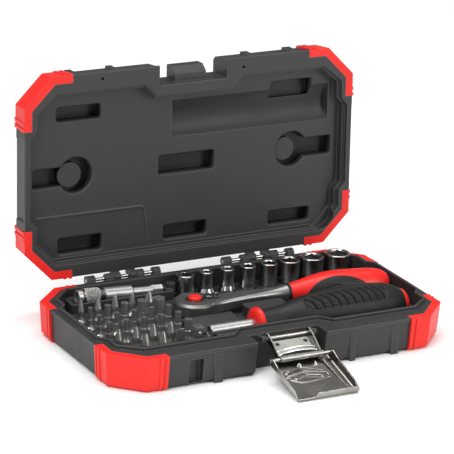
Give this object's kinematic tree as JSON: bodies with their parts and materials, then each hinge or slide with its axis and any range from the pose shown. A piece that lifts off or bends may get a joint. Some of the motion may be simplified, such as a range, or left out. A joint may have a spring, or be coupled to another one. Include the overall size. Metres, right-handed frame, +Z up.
{
  "type": "socket wrench set",
  "caption": "Hinged octagonal plastic tool case with corner guards and steel latch, holding sockets, bits, ratchet, bit driver and extension.",
  "frame": {"origin": "middle of the case outline on the underside of the base", "axes": "+X along the hinge line, +Y towards the hinge, +Z up"},
  "size_m": [0.2576, 0.2259, 0.1724],
  "materials": {
    "case_plastic": "fine moulded grain",
    "guard_plastic": "satin moulded",
    "latch_steel": "plated pressed sheet",
    "bit_steel": "satin hardened",
    "socket_chrome": "satin chrome",
    "tool_chrome": "satin chrome",
    "red_grip": "smooth hard plastic",
    "red_button": "smooth",
    "black_grip": "soft grip",
    "magnet": "plain",
    "mechanism_steel": "turned"
  },
  "bodies": {
    "base": {"base_shell": "case_plastic", "base_guard_front_left": "guard_plastic", "base_guard_front_right": "guard_plastic", "base_guard_back_left": "guard_plastic", "base_guard_back_right": "guard_plastic", "hinge_pins": "latch_steel", "latch_base_pin": "latch_steel"},
    "lid": {"lid_shell": "case_plastic", "lid_guard_front_left": "guard_plastic", "lid_guard_front_right": "guard_plastic", "lid_guard_back_left": "guard_plastic", "lid_guard_back_right": "guard_plastic"},
    "latch_plate": {"latch_plate": "latch_steel", "latch_joint_pin": "latch_steel"},
    "latch_hasp": {"latch_hasp": "latch_steel"},
    "ratchet": {"ratchet_body": "tool_chrome", "ratchet_retaining_ring": "mechanism_steel", "ratchet_handle_core": "red_grip", "ratchet_handle_inlay": "black_grip", "ratchet_neck_ring": "black_grip"},
    "ratchet_drive": {"ratchet_drive_gear": "mechanism_steel", "ratchet_drive_ball": "mechanism_steel", "ratchet_button_spring": "mechanism_steel"},
    "ratchet_button": {"ratchet_release_button": "red_button"},
    "ratchet_lever": {"ratchet_reversing_lever": "mechanism_steel"},
    "ratchet_pawl": {"ratchet_pawl": "mechanism_steel"},
    "driver": {"driver_shaft": "tool_chrome", "driver_magnet": "magnet", "driver_core": "red_grip", "driver_grip": "black_grip"},
    "extension": {"extension_body": "tool_chrome", "extension_spring": "mechanism_steel"},
    "extension_sleeve": {"extension_sleeve": "tool_chrome"},
    "bit_holder": {"bit_holder": "tool_chrome", "bit_holder_magnet": "magnet"},
    "square_adapter": {"square_adapter": "bit_steel", "square_adapter_ball": "bit_steel"},
    "socket_5_5_mm": {"socket_5_5_mm": "socket_chrome"},
    "socket_6_mm": {"socket_6_mm": "socket_chrome"},
    "socket_7_mm": {"socket_7_mm": "socket_chrome"},
    "socket_8_mm": {"socket_8_mm": "socket_chrome"},
    "socket_10_mm": {"socket_10_mm": "socket_chrome"},
    "socket_12_mm": {"socket_12_mm": "socket_chrome"},
    "socket_13_mm": {"socket_13_mm": "socket_chrome"},
    "bits_cross_head": {"bits_cross_head": "bit_steel"},
    "bits_hexagon_key": {"bits_hexagon_key": "bit_steel"},
    "bits_star_small": {"bits_star_small": "bit_steel"},
    "bits_star_middle": {"bits_star_middle": "bit_steel"},
    "bits_mixed_row": {"bits_mixed_row": "bit_steel"},
    "bits_front_row": {"bits_front_row": "bit_steel"}
  },
  "joints": [
    {"name": "lid_hinge", "type": "hinge", "parent": "base", "child": "lid", "pos_m": [0, 0.0758, 0.0243], "axis": [-1, 0, 0], "range_deg": [-92.7, 0]},
    {"name": "latch_plate_hinge", "type": "hinge", "parent": "base", "child": "latch_plate", "pos_m": [0, -0.065, 0.0234], "axis": [-1, 0, 0], "range_deg": [-72.4, 40]},
    {"name": "latch_hasp_hinge", "type": "hinge", "parent": "latch_plate", "child": "latch_hasp", "pos_m": [0, -0.0836, 0.01527], "axis": [1, 0, 0], "range_deg": [-172.9, 0]},
    {"name": "ratchet_lift", "type": "slide", "parent": "base", "child": "ratchet", "axis": [0, 0, 1], "range_m": [0, 0.06]},
    {"name": "ratchet_drive_turn", "type": "hinge", "parent": "ratchet", "child": "ratchet_drive", "pos_m": [-0.0271, 0.0172, 0.018], "axis": [0, 0, 1], "continuous": true},
    {"name": "ratchet_button_press", "type": "slide", "parent": "ratchet_drive", "child": "ratchet_button", "axis": [0, 0, 1], "range_m": [-0.0015, 0], "stiffness_N_per_m": 400, "springref_m": 0.001, "deforming": ["ratchet_button_spring"]},
    {"name": "ratchet_lever_turn", "type": "hinge", "parent": "ratchet", "child": "ratchet_lever", "pos_m": [-0.01682, 0.01654, 0.024], "axis": [0, 0, 1], "range_deg": [-28, 28]},
    {"name": "ratchet_pawl_turn", "type": "hinge", "parent": "ratchet", "child": "ratchet_pawl", "pos_m": [-0.01682, 0.01654, 0.018], "axis": [0, 0, 1], "range_deg": [-7, 7]},
    {"name": "driver_lift", "type": "slide", "parent": "base", "child": "driver", "axis": [0, 0, 1], "range_m": [0, 0.06]},
    {"name": "extension_lift", "type": "slide", "parent": "base", "child": "extension", "axis": [0, 0, 1], "range_m": [0, 0.04]},
    {"name": "extension_sleeve_slide", "type": "slide", "parent": "extension", "child": "extension_sleeve", "axis": [0.999, 0, -0.0454], "range_m": [0, 0.0035], "stiffness_N_per_m": 300, "springref_m": -0.001},
    {"name": "bit_holder_lift", "type": "slide", "parent": "base", "child": "bit_holder", "axis": [0, 0, 1], "range_m": [0, 0.05]},
    {"name": "square_adapter_lift", "type": "slide", "parent": "base", "child": "square_adapter", "axis": [0, 0, 1], "range_m": [0, 0.05]},
    {"name": "socket_5_5_mm_lift", "type": "slide", "parent": "base", "child": "socket_5_5_mm", "axis": [0, 0, 1], "range_m": [0, 0.05]},
    {"name": "socket_6_mm_lift", "type": "slide", "parent": "base", "child": "socket_6_mm", "axis": [0, 0, 1], "range_m": [0, 0.05]},
    {"name": "socket_7_mm_lift", "type": "slide", "parent": "base", "child": "socket_7_mm", "axis": [0, 0, 1], "range_m": [0, 0.05]},
    {"name": "socket_8_mm_lift", "type": "slide", "parent": "base", "child": "socket_8_mm", "axis": [0, 0, 1], "range_m": [0, 0.05]},
    {"name": "socket_10_mm_lift", "type": "slide", "parent": "base", "child": "socket_10_mm", "axis": [0, 0, 1], "range_m": [0, 0.05]},
    {"name": "socket_12_mm_lift", "type": "slide", "parent": "base", "child": "socket_12_mm", "axis": [0, 0, 1], "range_m": [0, 0.05]},
    {"name": "socket_13_mm_lift", "type": "slide", "parent": "base", "child": "socket_13_mm", "axis": [0, 0, 1], "range_m": [0, 0.05]},
    {"name": "bits_cross_head_lift", "type": "slide", "parent": "base", "child": "bits_cross_head", "axis": [0, 0, 1], "range_m": [0, 0.05]},
    {"name": "bits_hexagon_key_lift", "type": "slide", "parent": "base", "child": "bits_hexagon_key", "axis": [0, 0, 1], "range_m": [0, 0.05]},
    {"name": "bits_star_small_lift", "type": "slide", "parent": "base", "child": "bits_star_small", "axis": [0, 0, 1], "range_m": [0, 0.05]},
    {"name": "bits_star_middle_lift", "type": "slide", "parent": "base", "child": "bits_star_middle", "axis": [0, 0, 1], "range_m": [0, 0.05]},
    {"name": "bits_mixed_row_lift", "type": "slide", "parent": "base", "child": "bits_mixed_row", "axis": [0, 0, 1], "range_m": [0, 0.05]},
    {"name": "bits_front_row_lift", "type": "slide", "parent": "base", "child": "bits_front_row", "axis": [0, 0, 1], "range_m": [0, 0.05]}
  ],
  "couplings": [
    {"joint": "ratchet_pawl_turn", "follows": "ratchet_lever_turn", "ratio": 0.25}
  ]
}
